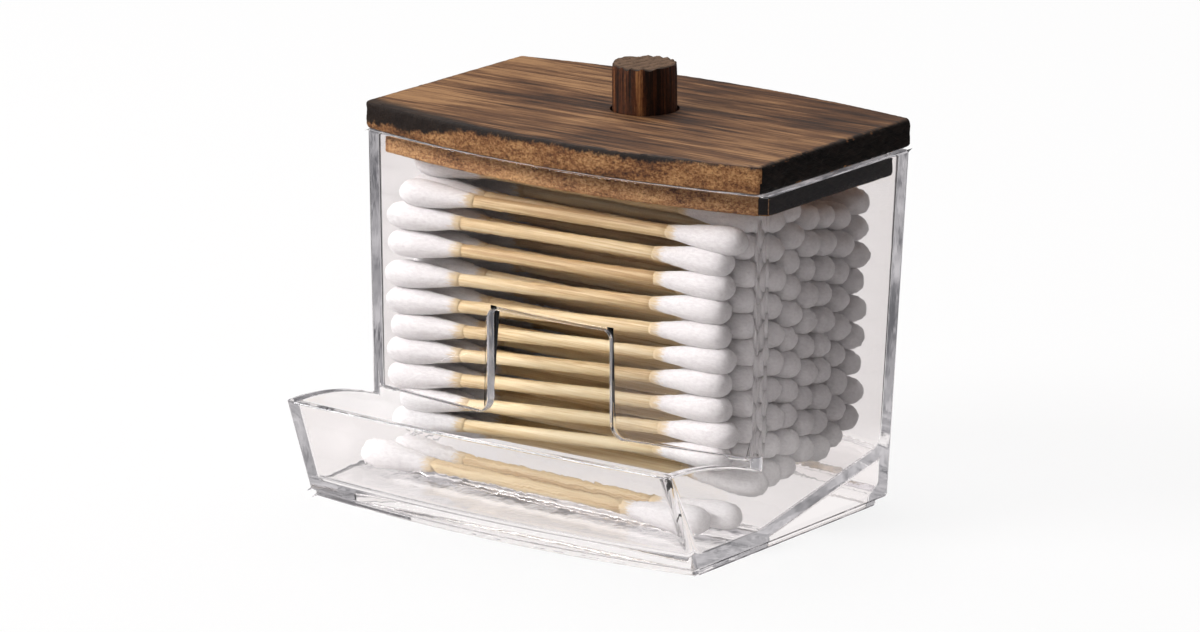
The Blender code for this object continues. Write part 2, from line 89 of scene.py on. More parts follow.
class Finish:
    # a material, or the world, and the nodes that make it
    def __init__(self, name, owner=None):
        self.material = owner or bpy.data.materials.new(name)
        self.material.use_nodes = True
        self.tree = self.material.node_tree
        self.tree.nodes.clear()

    def add(self, kind, inputs=(), output=0, stops=None, **settings):
        node = self.tree.nodes.new(kind)
        for name, value in settings.items():
            setattr(node, name, value)
        if stops:
            ramp = node.color_ramp
            while len(ramp.elements) < len(stops):
                ramp.elements.new(1.0)
            for element, (place, colour) in zip(ramp.elements, stops):
                element.position = place
                element.color = (*colour, 1.0)
        for name, value in dict(inputs).items():
            feed(self.tree, value, node.inputs[name])
        return Signal(self.tree, node.outputs[output])

    def place(self):
        # millimetres, centred on the bin
        point = self.add("ShaderNodeTexCoord", output="Object")
        return self.add("ShaderNodeMapping", {
            "Vector": point, "Location": (0.0, -binY, 0.0), "Scale": (1 / mm, 1 / mm, 1 / mm)})

    def split(self, vector):
        outputs = self.add("ShaderNodeSeparateXYZ", {"Vector": vector}).socket.node.outputs
        return [Signal(self.tree, socket) for socket in outputs]

    def noise(self, vector, stretch, detail=3.0, roughness=0.5, distortion=0.0):
        stretched = self.add("ShaderNodeMapping", {"Vector": vector, "Scale": stretch})
        return self.add("ShaderNodeTexNoise", {
            "Vector": stretched, "Scale": 1.0, "Detail": detail, "Roughness": roughness,
            "Distortion": distortion})

    def noises(self, vector, look, names):
        return [self.noise(vector, *look[name]) for name in names.split()]

    def wobble(self, vector, settings, amount):
        return (self.noise(vector, *settings) - 0.5) * amount

    def ease(self, value, low, high):
        return self.add("ShaderNodeMapRange", {"Value": value, "From Min": low, "From Max": high},
                        interpolation_type="SMOOTHSTEP")

    def ramp(self, value, stops):
        return self.add("ShaderNodeValToRGB", {"Fac": value}, stops=stops)

    def blend(self, share, under, over):
        # sockets 6 and 7 and output 2 are the node's colours
        return self.add("ShaderNodeMix", {0: share, 6: under, 7: over}, output=2,
                        data_type="RGBA")

    def either(self, share, first, second):
        return self.add("ShaderNodeMixShader", {0: share, 1: first, 2: second})

    def bump(self, height, distance, strength=1.0):
        return self.add("ShaderNodeBump", {
            "Height": height, "Distance": distance * mm, "Strength": strength})

    def shader(self, inputs):
        return self.add("ShaderNodeBsdfPrincipled", inputs)

    def wood(self, colour, roughness, shine, bump):
        return self.done(self.shader({
            "Base Color": colour, "Roughness": roughness, "Specular IOR Level": shine,
            "Normal": bump}))

    def done(self, shader, kind="ShaderNodeOutputMaterial"):
        node = self.tree.nodes.new(kind)
        feed(self.tree, shader, node.inputs["Surface"])
        return self.material


# materials

black = (0.0, 0.0, 0.0)
white = (1.0, 1.0, 1.0)

# Noises in these dictionaries: stretch along X, Y and Z, detail, roughness, distortion.


def clearPlastic():
    look = {
        "tint": (0.968, 0.952, 0.951), "lampTint": (0.95, 0.94, 0.94), "ior": 1.49,
        "ripples": ((0.30, 0.30, 0.22), 2.0, 0.5), "relief": 0.035,
        # painted glow: emission that stands in for light running on inside a wall, seen at its
        # edges after many bounces
        "trappedAfter": 3.5, "trappedDim": (0.075, 0.074, 0.080),
        "trappedBright": (0.30, 0.29, 0.30), "bands": ((0.16, 0.16, 0.10), 3.0, 0.6)}
    f = Finish("clear plastic")
    p = f.place()
    ripples, bands = f.noises(p, look, "ripples bands")
    # painted glow: past this many glossy bounces the plastic emits a dim, banded grey in place of
    # the light that runs on inside the wall
    inside = f.add("ShaderNodeLightPath", output="Glossy Depth") > look["trappedAfter"]
    trapped = f.blend(f.ease(bands, 0.40, 0.60), look["trappedDim"], look["trappedBright"])
    body = f.shader({
        "Base Color": look["tint"], "Roughness": 0.0, "IOR": look["ior"],
        "Transmission Weight": 1.0, "Normal": f.bump(ripples, look["relief"]),
        "Emission Strength": 1.0, "Emission Color": f.blend(inside, black, trapped)})
    lampRay = f.add("ShaderNodeLightPath", output="Is Shadow Ray")
    through = f.add("ShaderNodeBsdfTransparent", {"Color": look["lampTint"]})
    return f.done(f.either(lampRay, body, through))


def lidEdgeDistance(x, y, size):
    # millimetres in from the board's outline: side, front, back
    across = x * x * (1.0 / size["halfWidth"] ** 2)
    side = size["halfWidth"] - abs(x)
    front = size["halfDepth"] + size["frontBulge"] * (1.0 - across) + y
    back = size["halfDepth"] + size["backBulge"] * (1.0 - across) - y
    return side, front, back


def lidTopWood(size):
    look = {
        "dark": (0.026, 0.010, 0.004), "brown": (0.135, 0.056, 0.020),
        "light": (0.360, 0.190, 0.080), "char": (0.010, 0.005, 0.003),
        "fine": ((0.13, 3.2, 1.0), 5.0, 0.6), "streak": ((0.035, 0.85, 1.0), 4.0, 0.6, 0.4),
        "patch": ((0.035, 0.075, 1.0), 2.0, 0.5), "pores": ((0.45, 5.0, 1.0), 3.0, 0.7),
        "ragged": ((0.25, 0.5, 1.0), 4.0, 0.7), "raggedBy": 2.2,
        # reach of the scorched front edge in mm, and what the left end adds to it
        "charReach": 0.9, "charLeft": 3.6, "charred": 0.93,
        "shine": 0.35, "relief": 0.22}
    f = Finish("lid top wood")
    p = f.place()
    x, y, _ = f.split(p)
    side, front, back = lidEdgeDistance(x, y, size)
    fine, streak, patch, pores = f.noises(p, look, "fine streak patch pores")
    leftward = f.ease(x, -4.0, -34.0)
    rightFront = f.ease(x, 2.0, 20.0) * f.ease(y, 4.0, -8.0)
    # painted shadow: darker behind the knob towards the back right, where the knob's shadow falls
    knobShadowPainted = f.ease(x, -16.0, 14.0) * f.ease(y, -2.0, 12.0)
    tone = (fine * 0.95 + streak * 1.15 + patch * 0.9 - 1.03 + leftward * 0.09
            + rightFront * 0.10 - knobShadowPainted * 0.10)
    wood = f.ramp(tone, [(0.22, look["dark"]), (0.46, look["brown"]), (0.74, look["light"])])
    pored = f.blend(f.ease(pores, 0.57, 0.72) * 0.6, wood, look["dark"])
    ragged = f.wobble(p, look["ragged"], look["raggedBy"])
    reach = look["charReach"] + leftward * look["charLeft"]
    frontChar = 1.0 - f.ease((front + ragged) / reach, 0.25, 1.0)
    sideChar = 1.0 - f.ease(side.least(back) + ragged, 0.1, 1.3)
    colour = f.blend(frontChar.most(sideChar) * look["charred"], pored, look["char"])
    return f.wood(colour, 0.46 + fine * 0.14, look["shine"],
                  f.bump(fine * 0.5 + pores * 0.35, look["relief"], 0.5))


def lidFrontWood(size, charred=True):
    look = {
        "pit": (0.040, 0.014, 0.005), "orange": (0.220, 0.086, 0.027),
        "pale": (0.510, 0.270, 0.105), "char": (0.007, 0.003, 0.002),
        "grain": ((1.5, 1.5, 2.2), 4.0, 0.75), "broad": ((0.10, 0.10, 0.30), 3.0, 0.6),
        "pits": ((1.9, 1.9, 2.9), 3.0, 0.75), "pitted": 0.8,
        "wave": ((0.10, 0.10, 0.1), 3.0, 0.6), "waveBy": 3.2,
        "ragged": ((0.9, 0.9, 0.9), 4.0, 0.75), "raggedBy": 2.6,
        # reach of the scorched band under the top in mm, and what the left end adds to it
        "charReach": 0.75, "charLeft": 3.0, "charred": 0.97,
        "roughness": 0.62, "shine": 0.3, "relief": 0.45}
    # painted light: the plug gets a brighter copy of this wood, making up for the shade it sits
    # in under the lid, behind the clear wall
    if not charred:
        look.update({"pit": (0.085, 0.034, 0.014), "orange": (0.380, 0.175, 0.066),
                     "pale": (0.720, 0.430, 0.190)})
    f = Finish("lid front wood" if charred else "plug front wood painted brighter")
    p = f.place()
    x, _, z = f.split(p)
    grain, broad, pits = f.noises(p, look, "grain broad pits")
    wood = f.ramp(grain * 1.15 + broad * 0.7 - 0.43, [
        (0.26, look["pit"]), (0.46, look["orange"]), (0.70, look["pale"])])
    colour = f.blend(f.ease(pits, 0.57, 0.66) * look["pitted"], wood, look["pit"])
    if charred:
        below = size["topZ"] - z  # millimetres under the top
        wave = f.wobble(p, look["wave"], look["waveBy"])
        ragged = f.wobble(p, look["ragged"], look["raggedBy"])
        reach = look["charReach"] + f.ease(x, -8.0, -36.0) * look["charLeft"] + wave
        char = 1.0 - f.ease(below + ragged - reach, -0.35, 0.55)
        colour = f.blend(char * look["charred"], colour, look["char"])
    return f.wood(colour, look["roughness"], look["shine"],
                  f.bump(grain * 0.5 + pits * 0.5, look["relief"], 0.7))


def lidEndWood():
    look = {
        "dark": (0.0035, 0.0024, 0.0018), "brown": (0.024, 0.014, 0.010),
        "rings": ((0.5, 0.55, 2.4), 5.0, 0.65, 0.4), "saw": ((1.3, 1.0, 1.0), 3.0, 0.7),
        "sawSlant": 0.55, "sawWander": 0.15, "roughness": 0.6, "shine": 0.25, "relief": 0.35}
    f = Finish("lid end wood")
    p = f.place()
    _, y, z = f.split(p)
    rings = f.noise(p, *look["rings"])
    sawn = f.add("ShaderNodeCombineXYZ", {
        "X": y * look["sawSlant"] + z, "Y": y * look["sawWander"]})
    saw = f.noise(sawn, *look["saw"])
    colour = f.ramp(rings * 0.5 + saw * 0.5, [(0.42, look["dark"]), (0.64, look["brown"])])
    return f.wood(colour, look["roughness"], look["shine"],
                  f.bump(rings + saw, look["relief"], 0.6))


def knobWood():
    look = {
        "dark": (0.016, 0.005, 0.002), "red": (0.110, 0.031, 0.009),
        "gold": (0.410, 0.175, 0.060), "fine": ((1.6, 1.6, 0.06), 4.0, 0.6),
        "broad": ((0.45, 0.45, 0.03), 2.0, 0.5), "specks": ((3.0, 3.0, 1.2), 3.0, 0.7),
        "roughness": 0.5, "shine": 0.35, "relief": 0.3}
    f = Finish("knob wood")
    p = f.place()
    fine, broad, specks = f.noises(p, look, "fine broad specks")
    colour = f.ramp(fine * 1.05 + broad * 0.8 + specks * 0.3 - 0.62, [
        (0.30, look["dark"]), (0.52, look["red"]), (0.76, look["gold"])])
    return f.wood(colour, look["roughness"], look["shine"], f.bump(fine, look["relief"], 0.7))


def knobEndWood(size):
    look = {
        "dark": (0.024, 0.010, 0.005), "gold": (0.170, 0.098, 0.055),
        "rim": (0.012, 0.006, 0.004), "rimFrom": 0.86, "rimDark": 0.85,
        "cuts": ((2.6, 0.7, 1.0), 4.0, 0.7), "roughness": 0.65, "shine": 0.3, "relief": 0.3}
    f = Finish("knob end wood")
    p = f.place()
    x, y, z = f.split(p)
    cuts = f.noise(p, *look["cuts"])
    # painted shade and light: the end is darker down in the grooves between the saw ridges and
    # lighter on their tops
    height = f.ease(z - size["topZ"], -size["ridge"], 0.0)
    colour = f.ramp(cuts * 0.8 + height * 0.35, [(0.35, look["dark"]), (0.72, look["gold"])])
    x, y = x - size["x"], y - size["y"]
    outward = (x * x + y * y) ** 0.5
    rim = f.ease(outward, size["radius"] * look["rimFrom"], size["radius"])
    colour = f.blend(rim * look["rimDark"], colour, look["rim"])
    return f.wood(colour, look["roughness"], look["shine"], f.bump(cuts, look["relief"], 0.7))


def bambooFinish():
    look = {
        "dark": (0.520, 0.335, 0.160), "straw": (0.735, 0.560, 0.315),
        "pale": (0.850, 0.715, 0.480), "fibre": ((0.05, 3.5, 3.5), 4.0, 0.6),
        "stick": ((0.01, 0.35, 0.35), 1.0, 0.5),
        "roughness": 0.5, "shine": 0.35, "relief": 0.12}
    f = Finish("bamboo")
    p = f.place()
    fibre, stick = f.noises(p, look, "fibre stick")
    colour = f.ramp(fibre * 0.7 + stick * 0.6 - 0.14, [
        (0.34, look["dark"]), (0.50, look["straw"]), (0.68, look["pale"])])
    return f.wood(colour, look["roughness"], look["shine"], f.bump(fibre, look["relief"], 0.6))


def cottonFinish():
    look = {
        "shade": (0.78, 0.757, 0.765), "white": (0.90, 0.886, 0.89),
        "straw": (0.735, 0.560, 0.315), "wisps": ((1.0, 2.6, 2.6), 5.0, 0.7),
        # where the cotton thins out to bare stick, in mm from the swab's end
        "frayFrom": 13.4, "frayTo": 15.6, "frayBy": 6.0, "bare": 0.9,
        "fibres": ((0.30, 4.0, 4.0), 4.0, 0.7), "shine": 0.1, "sheen": 0.15, "relief": 0.22}
    f = Finish("cotton")
    p = f.place()
    wisps = f.noise(p, *look["wisps"])
    colour = f.ramp(wisps, [(0.35, look["shade"]), (0.60, look["white"])])
    along = f.add("ShaderNodeAttribute", output="Fac", attribute_name="along")
    fray = f.wobble(p, look["fibres"], look["frayBy"])
    bare = f.ease(along + fray, look["frayFrom"], look["frayTo"])
    colour = f.blend(bare * look["bare"], colour, look["straw"])
    return f.done(f.shader({
        "Base Color": colour, "Roughness": 1.0, "Specular IOR Level": look["shine"],
        "Sheen Weight": look["sheen"], "Normal": f.bump(wisps, look["relief"], 0.6)}))


# mesh helpers

def meshPiece(name, work, materials=(), smooth=None):
    # smooth: faces that meet at more than this many degrees keep a sharp edge
    for vert in work.verts:
        vert.co = Vector((vert.co.x, vert.co.y + binY, vert.co.z)) * mm
    mesh = bpy.data.meshes.new(name)
    work.to_mesh(mesh)
    work.free()
    for material in materials:
        mesh.materials.append(material)
    piece = bpy.data.objects.new(name, mesh)
    bpy.context.scene.collection.objects.link(piece)
    if smooth:
        mesh.shade_smooth()
        mesh.set_sharp_from_angle(angle=math.radians(smooth))
    return piece


def evaluatedMesh(piece):
    evaluated = piece.evaluated_get(bpy.context.evaluated_depsgraph_get())
    return bpy.data.meshes.new_from_object(evaluated)


def cut(body, cutter, operation):
    modifier = body.modifiers.new(operation.lower(), "BOOLEAN")
    modifier.operation = operation
    modifier.solver = "EXACT"
    modifier.object = cutter
    mesh = evaluatedMesh(body)
    body.modifiers.clear()
    body.data = mesh
    bpy.data.objects.remove(cutter, do_unlink=True)


# clear bin

binSize = {
    "rimZ": 62.3, "halfWidth": 43.0, "halfDepth": 21.5, "baseZ": 1.2, "baseBackY": 16.8,
    "frontBulge": 4.6, "backBulge": 3.9, "footBulge": 4.2, "sideDraft": 0.015, "wall": 2.0,
    "outerCorner": 1.0, "innerCorner": 0.8,
    "footY": -22.0, "footZ": 16.2, "notchHalf": 13.1, "notchTop": 35.2, "notchRadius": 1.5,
    "notchFlare": 3.0, "notchSunk": 0.05, "notchBelow": 1.0, "notchAhead": 10.0,
    "notchBehind": 6.0, "rowOverNotch": 1.2,
    "lipY": -47.0, "lipZ": 19.0, "lipBulge": 0.9, "trayBaseY": -39.9, "trayBaseBulge": 3.6,
    "wingEndZ": 14.3, "wingArch": 1.35, "wingTaper": 0.042, "trayBackY": -31.0,
    "floorZ": 3.4, "floorFrontY": -37.7, "heel": 1.2, "heelBack": 0.25, "heelRise": 0.6,
    "heelCorner": 0.9, "heelReach": 1.0, "rampSlope": 0.194,
    "rampThickness": 2.15, "rampFillet": 2.6, "ringBackY": 14.2, "ringInset": 0.6,
    "ringSunk": 0.5, "hollowFrontY": -17.6, "hollowBackY": 12.2, "hollowStepZ": 1.8,
    "hollowSkirtZ": 3.6,
    # rounding of the edges: size, degrees from which an edge counts, welding distances
    "edge": 0.42, "edgeAngle": 38.0, "shadeAngle": 35.0, "weld": 0.02, "fineWeld": 0.005}
binSteps = {
    "across": 60, "corner": 5, "wing": 20, "heel": 5, "fillet": 8, "flare": 12, "notch": 8}
b = binSize
creaseY = b["footY"] + b["outerCorner"]
gap = 0.3  # clearance between neighbouring surfaces
beyond = 1.7  # how far a cutting shape runs past the surface it cuts


def pull(s, radius):
    # how far the rounded corner draws the wall in at s, from -1 to 1 across the bin
    turned = max(0.0, (abs(s) * b["halfWidth"] - (b["halfWidth"] - radius)) / radius)
    return radius * (1.0 - math.sqrt(1.0 - min(turned, 1.0) ** 2))


def frontAt(corner, bulge, s, radius):
    return corner - bulge * (1.0 - s * s) + pull(s, radius)


def backAt(corner, bulge, s, radius):
    return corner + bulge * (1.0 - s * s) - pull(s, radius)


def halfWidthAt(z):
    return b["halfWidth"] - b["sideDraft"] * (b["rimZ"] - z)


def stations(steps, cornerSteps):
    flat = 1.0 - b["outerCorner"] / b["halfWidth"]
    middle = [flat * (2.0 * i / steps - 1.0) for i in range(steps + 1)]
    turns = [math.sin(0.5 * math.pi * i / cornerSteps) for i in range(1, cornerSteps + 1)]
    corner = [flat + (1.0 - flat) * turn for turn in turns]
    return [-s for s in reversed(corner)] + middle + corner


def loftAcross(name, profile, endFaces):
    work = bmesh.new()
    places = stations(binSteps["across"], binSteps["corner"])
    rows = [[work.verts.new(point) for point in profile(s)] for s in places]
    count = len(rows[0])
    for row, following in zip(rows, rows[1:]):
        for i in range(count):
            j = (i + 1) % count
            work.faces.new((row[i], row[j], following[j], following[i]))
    for row in (rows[0], rows[-1]):
        for indices in endFaces:
            work.faces.new([row[i] for i in indices])
    bmesh.ops.recalc_face_normals(work, faces=work.faces)
    return meshPiece(name, work)


def wingInset(y, z):
    # the wings draw in upwards and forwards
    rise = (z - b["baseZ"]) / (b["lipZ"] - b["baseZ"])
    return b["wingTaper"] * max(0.0, creaseY - y) * rise


def wingTop(y):
    t = (y - b["lipY"]) / (creaseY - b["lipY"])
    return b["lipZ"] + (b["wingEndZ"] - b["lipZ"]) * t + b["wingArch"] * 4.0 * t * (1.0 - t)


def rampZ(y):
    return b["floorZ"] + b["rampSlope"] * max(0.0, y - creaseY)


def wallPoint(foot, rim):
    # a row just above the notch keeps the wall over it free of slanting folds
    z = b["notchTop"] + b["edge"] * b["rowOverNotch"]
    share = (z - foot[1]) / (rim[1] - foot[1])
    return (foot[0] + (rim[0] - foot[0]) * share, z, 0.0)


def outerProfile(s):
    corner = b["outerCorner"]
    lip = frontAt(b["lipY"], b["lipBulge"], s, corner)
    foot = frontAt(b["footY"], b["footBulge"], s, corner)
    lipInset = wingInset(b["lipY"] + corner, b["lipZ"])
    points = [
        (backAt(b["halfDepth"], b["backBulge"], s, corner), b["rimZ"], 0.0),
        (backAt(b["baseBackY"], b["backBulge"], s, corner), b["baseZ"], 0.0),
        (creaseY, b["baseZ"], 0.0),
        (frontAt(b["trayBaseY"], b["trayBaseBulge"], s, corner), b["baseZ"], 0.0),
        (lip, wingTop(lip), lipInset)]
    for i in range(1, binSteps["wing"]):
        t = i / binSteps["wing"]
        y = lip + (foot - lip) * t
        points.append((y, wingTop(y), lipInset * (1.0 - t)))
    rim = frontAt(-b["halfDepth"], b["frontBulge"], s, corner)
    points.append((foot, wingTop(foot), 0.0))
    points.append(wallPoint((foot, wingTop(foot)), (rim, b["rimZ"])))
    points.append((rim, b["rimZ"], 0.0))
    return [(s * (halfWidthAt(z) - inset), y, z) for y, z, inset in points]


def innerBack(z, s):
    lean = (b["halfDepth"] - b["baseBackY"]) / (b["rimZ"] - b["baseZ"])
    corner = b["halfDepth"] - b["wall"] - lean * (b["rimZ"] - z)
    return backAt(corner, b["backBulge"], s, b["innerCorner"])


def rampEnd(s):
    # where the ramp meets the leaning back wall, near enough after three rounds
    y = b["baseBackY"]
    for _ in range(3):
        y = innerBack(rampZ(y), s)
    return Vector((y, rampZ(y)))


def rampFillet(s):
    corner = rampEnd(s)
    start = corner + Vector((-1.0, -b["rampSlope"])).normalized() * b["rampFillet"]
    up = Vector((innerBack(b["rimZ"], s), b["rimZ"])) - corner
    end = corner + up.normalized() * b["rampFillet"]
    return curved(start, corner, end, binSteps["fillet"])


def cavityProfile(s):
    inner = b["innerCorner"]
    wall = b["wall"]
    top = b["rimZ"] + beyond
    over = b["lipZ"] + 2.0 * beyond
    heelY = b["floorFrontY"] - b["heel"]
    heelZ = b["floorZ"] + b["heel"]
    lean = (heelY - b["lipY"] - wall) / (heelZ - b["lipZ"])
    lipTop = b["lipY"] + wall + lean * (over - b["lipZ"])
    rim = (frontAt(-b["halfDepth"] + wall, b["frontBulge"], s, inner), top)
    foot = (frontAt(b["footY"] + wall, b["footBulge"], s, inner), b["footZ"])
    points = [(*rim, 0.0), wallPoint(foot, rim), (*foot, 0.0),
              (creaseY - b["footBulge"] * (1.0 - s * s), b["footZ"], 0.0)]
    tray = [
        (frontAt(b["footY"] - gap, b["footBulge"], s, b["outerCorner"]), b["footZ"]),
        (b["trayBackY"], over),
        (frontAt(lipTop, b["lipBulge"], s, inner), over)]
    heel = curved((heelY - b["heelBack"], heelZ + b["heelRise"]),
                  (b["floorFrontY"] - b["heelCorner"], b["floorZ"]),
                  (b["floorFrontY"] + b["heelReach"], b["floorZ"]), binSteps["heel"])
    tray += [(frontAt(y, b["trayBaseBulge"], s, inner), z) for y, z in heel]
    points += [(y, z, wingInset(y, z)) for y, z in tray]
    points.append((creaseY, b["floorZ"], 0.0))
    points += [(y, z, 0.0) for y, z in rampFillet(s)]
    points.append((innerBack(top, s), top, 0.0))
    return [(s * (halfWidthAt(z) - wall - inset), y, z) for y, z, inset in points]


def curved(start, corner, end, steps):
    # a quadratic bend from start to end
    points = []
    for i in range(steps + 1):
        t = i / steps
        points.append(tuple(
            p * (1.0 - t) ** 2 + q * 2.0 * t * (1.0 - t) + r * t * t
            for p, q, r in zip(start, corner, end)))
    return points


def hollowProfile(s):
    end = rampEnd(s)
    front = b["hollowFrontY"]
    ring = backAt(b["hollowBackY"], b["backBulge"], s, b["innerCorner"])
    points = [
        (front, -beyond), (ring, -beyond), (ring, b["hollowStepZ"]),
        (innerBack(b["hollowSkirtZ"], s), b["hollowSkirtZ"]),
        (end.x - gap, end.y - b["rampThickness"]), (front, rampZ(front) - b["rampThickness"])]
    return [(s * (halfWidthAt(z) - b["wall"]), y, z) for y, z in points]


def ringProfile(s):
    back = backAt(b["ringBackY"], b["backBulge"], s, b["outerCorner"])
    front = frontAt(b["trayBaseY"] + b["ringInset"], b["trayBaseBulge"], s, b["outerCorner"])
    top = b["baseZ"] + b["ringSunk"]
    half = halfWidthAt(0.0) - b["ringInset"]
    return [(s * half, y, z) for y, z in ((back, 0.0), (back, top), (front, top), (front, 0.0))]


def arcPoints(centre, radius, start, end, steps):
    angles = [math.radians(start + (end - start) * i / steps) for i in range(steps + 1)]
    return [(centre[0] + radius * math.cos(a), centre[1] + radius * math.sin(a)) for a in angles]


def roundAngles(count):
    return [2.0 * math.pi * i / count for i in range(count)]


def notchCutter():
    half = b["notchHalf"]
    low = b["footZ"] - b["notchSunk"]
    flare = b["notchFlare"]
    radius = b["notchRadius"]
    frontY, backY = b["footY"] - b["notchAhead"], b["footY"] + b["notchBehind"]
    right = [(half + flare, low - b["notchBelow"])]
    right += arcPoints(
        (half + flare, low + flare), flare, 270.0, 180.0, binSteps["flare"])
    right += arcPoints(
        (half - radius, b["notchTop"] - radius), radius, 0.0, 90.0, binSteps["notch"])
    outline = right + [(-x, z) for x, z in reversed(right)]
    work = bmesh.new()
    front = [work.verts.new((x, frontY, z)) for x, z in outline]
    back = [work.verts.new((x, backY, z)) for x, z in outline]
    count = len(outline)
    for i in range(count):
        j = (i + 1) % count
        work.faces.new((front[i], front[j], back[j], back[i]))
    work.faces.new(front)
    work.faces.new(back)
    bmesh.ops.recalc_face_normals(work, faces=work.faces)
    return meshPiece("notch", work)


def weld(work, distance):
    bmesh.ops.remove_doubles(work, verts=work.verts, dist=distance * mm)
    bmesh.ops.dissolve_degenerate(work, edges=work.edges, dist=distance * mm)


def softenEdges(piece):
    limit = math.radians(b["edgeAngle"])
    work = bmesh.new()
    work.from_mesh(piece.data)
    weld(work, b["weld"])
    sharp = [edge for edge in work.edges
             if edge.is_manifold and edge.calc_face_angle(0.0) > limit]
    bmesh.ops.bevel(work, geom=sharp, offset=b["edge"] * mm, segments=3, profile=0.5,
                    affect="EDGES", clamp_overlap=False, loop_slide=True)
    weld(work, b["fineWeld"])
    # the bevel can overshoot at the lip's corners, so nothing may pass the lip's front
    for vert in work.verts:
        x, y, z = vert.co / mm
        s = min(1.0, abs(x) / (halfWidthAt(z) - wingInset(b["lipY"], z)))
        vert.co.y = mm * max(y, binY + frontAt(b["lipY"], b["lipBulge"], s, b["outerCorner"]))
    work.to_mesh(piece.data)
    work.free()


def makeBin():
    # Each profile closes with an end face for the box and one for the tray. They are
    # given as point numbers: the front wall's foot, then the crease of the floor.
    wallFoot = 4 + binSteps["wing"]
    body = loftAcross("clearBin", outerProfile, (
        (0, 1, 2, wallFoot, wallFoot + 1, wallFoot + 2), tuple(range(2, wallFoot + 1))))
    floorCrease = 8 + binSteps["heel"]
    cavityCount = floorCrease + binSteps["fillet"] + 3
    cavity = loftAcross("cavity", cavityProfile, (
        (0, 1, 2, 3, *range(floorCrease, cavityCount)), tuple(range(3, floorCrease + 1))))
    ring = loftAcross("ring", ringProfile, (range(4),))
    hollow = loftAcross("hollow", hollowProfile, (range(6),))
    cut(body, ring, "UNION")
    cut(body, cavity, "DIFFERENCE")
    cut(body, hollow, "DIFFERENCE")
    cut(body, notchCutter(), "DIFFERENCE")
    softenEdges(body)
    body.data.materials.clear()
    body.data.materials.append(clearPlastic())
    body.data.shade_smooth()
    body.data.set_sharp_from_angle(angle=math.radians(b["shadeAngle"]))
    flatten = body.modifiers.new("flat faces", "WEIGHTED_NORMAL")
    flatten.keep_sharp = True
    mesh = evaluatedMesh(body)
    body.modifiers.clear()
    body.data = mesh
    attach(body, "bin")
    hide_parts("clear_bin")
    print("bin", len(mesh.polygons), "faces")


makeBin()


# lid

lidSize = {
    "halfWidth": 42.8, "halfDepth": 22.6, "frontBulge": 5.2, "backBulge": 4.1, "lowZ": 62.6,
    "topZ": 67.7, "corner": 1.3, "edge": 0.9, "rough": 0.16}
plugSize = {
    "halfWidth": 40.6, "halfDepth": 19.0, "frontBulge": 4.6, "backBulge": 3.9, "lowZ": 58.2,
    "topZ": 62.3, "corner": 1.6, "edge": 0.4, "rough": 0.12}
knobSize = {
    "x": 0.8, "y": 1.3, "radius": 5.75, "lowZ": 65.5, "topZ": 76.0, "hole": 6.1,
    "holeZ": 65.2, "holeSides": 48, "sides": 96, "chamfer": 0.12,
    "firstRow": 0.4, "rowStep": 0.75, "rows": 12,
    # rows across the sawn end, as shares of the radius
    "endRows": (0.985, 0.95, 0.88, 0.81, 0.74, 0.67, 0.60, 0.53, 0.46, 0.39, 0.32, 0.25,
                0.18, 0.11, 0.05),
    # saw ridges: height, pitch, direction across them, shares that rise and fall
    "ridge": 0.65, "ridgePitch": 1.75, "ridgeAcross": (0.98, 0.15), "ridgeRise": 0.7,
    "ridgeFall": 0.3, "wander": 0.35, "ripple": 0.016, "rippleScale": 5.0}
# the boards' sawn faces: noise scale and settings, least dent, lean of the dents' direction
sawn = {
    "scale": 0.9, "settings": (0.8, 2.0, 4), "least": -0.4, "sideLean": 0.25,
    "endLean": 0.2, "endLeanSpan": 20.0}
boardOutline = {"step": 0.6, "turn": 72.0, "turnSteps": 5, "leastCorner": 0.2}
steepFace = 0.75


def barrelOutline(size, inset):
    # counter-clockwise outline of a slab with bowed long sides, drawn in by inset
    half = size["halfWidth"] - inset
    corner = max(size["corner"] - inset, boardOutline["leastCorner"])
    flat = half - corner
    depth = size["halfDepth"] - inset
    step, angle, turnSteps = [boardOutline[key] for key in ("step", "turn", "turnSteps")]
    count = int(2.0 * (size["halfWidth"] - size["corner"]) / step)
    sideCount = int(2.0 * (size["halfDepth"] - size["corner"]) / step)
    turn = arcPoints((flat, corner - depth), corner, -angle, 0.0, turnSteps)
    side = [(half, (corner - depth) + 2.0 * (depth - corner) * i / sideCount)
            for i in range(1, sideCount)]
    turnBack = arcPoints((flat, depth - corner), corner, 0.0, angle, turnSteps)
    outline = []
    for bulge, way in ((size["frontBulge"], 1.0), (size["backBulge"], -1.0)):
        for i in range(count + 1):
            u = 2.0 * i / count - 1.0
            outline.append((way * flat * u, -way * (depth + bulge * (1.0 - u * u))))
        outline += [(way * x, way * y) for x, y in turn + side + turnBack]
    return outline


def slabLevels(size, steps=4, middle=8):
    # inset and height of the rows round a slab, its edges rounded
    edge = size["edge"]
    low = [(edge * (1.0 - math.sin(a)), size["lowZ"] + edge * (1.0 - math.cos(a)))
           for a in [0.5 * math.pi * i / steps for i in range(steps + 1)]]
    high = [(inset, size["topZ"] + size["lowZ"] - z) for inset, z in reversed(low)]
    span = high[0][1] - low[-1][1]
    between = [(0.0, low[-1][1] + span * i / middle) for i in range(1, middle)]
    return low + between + high


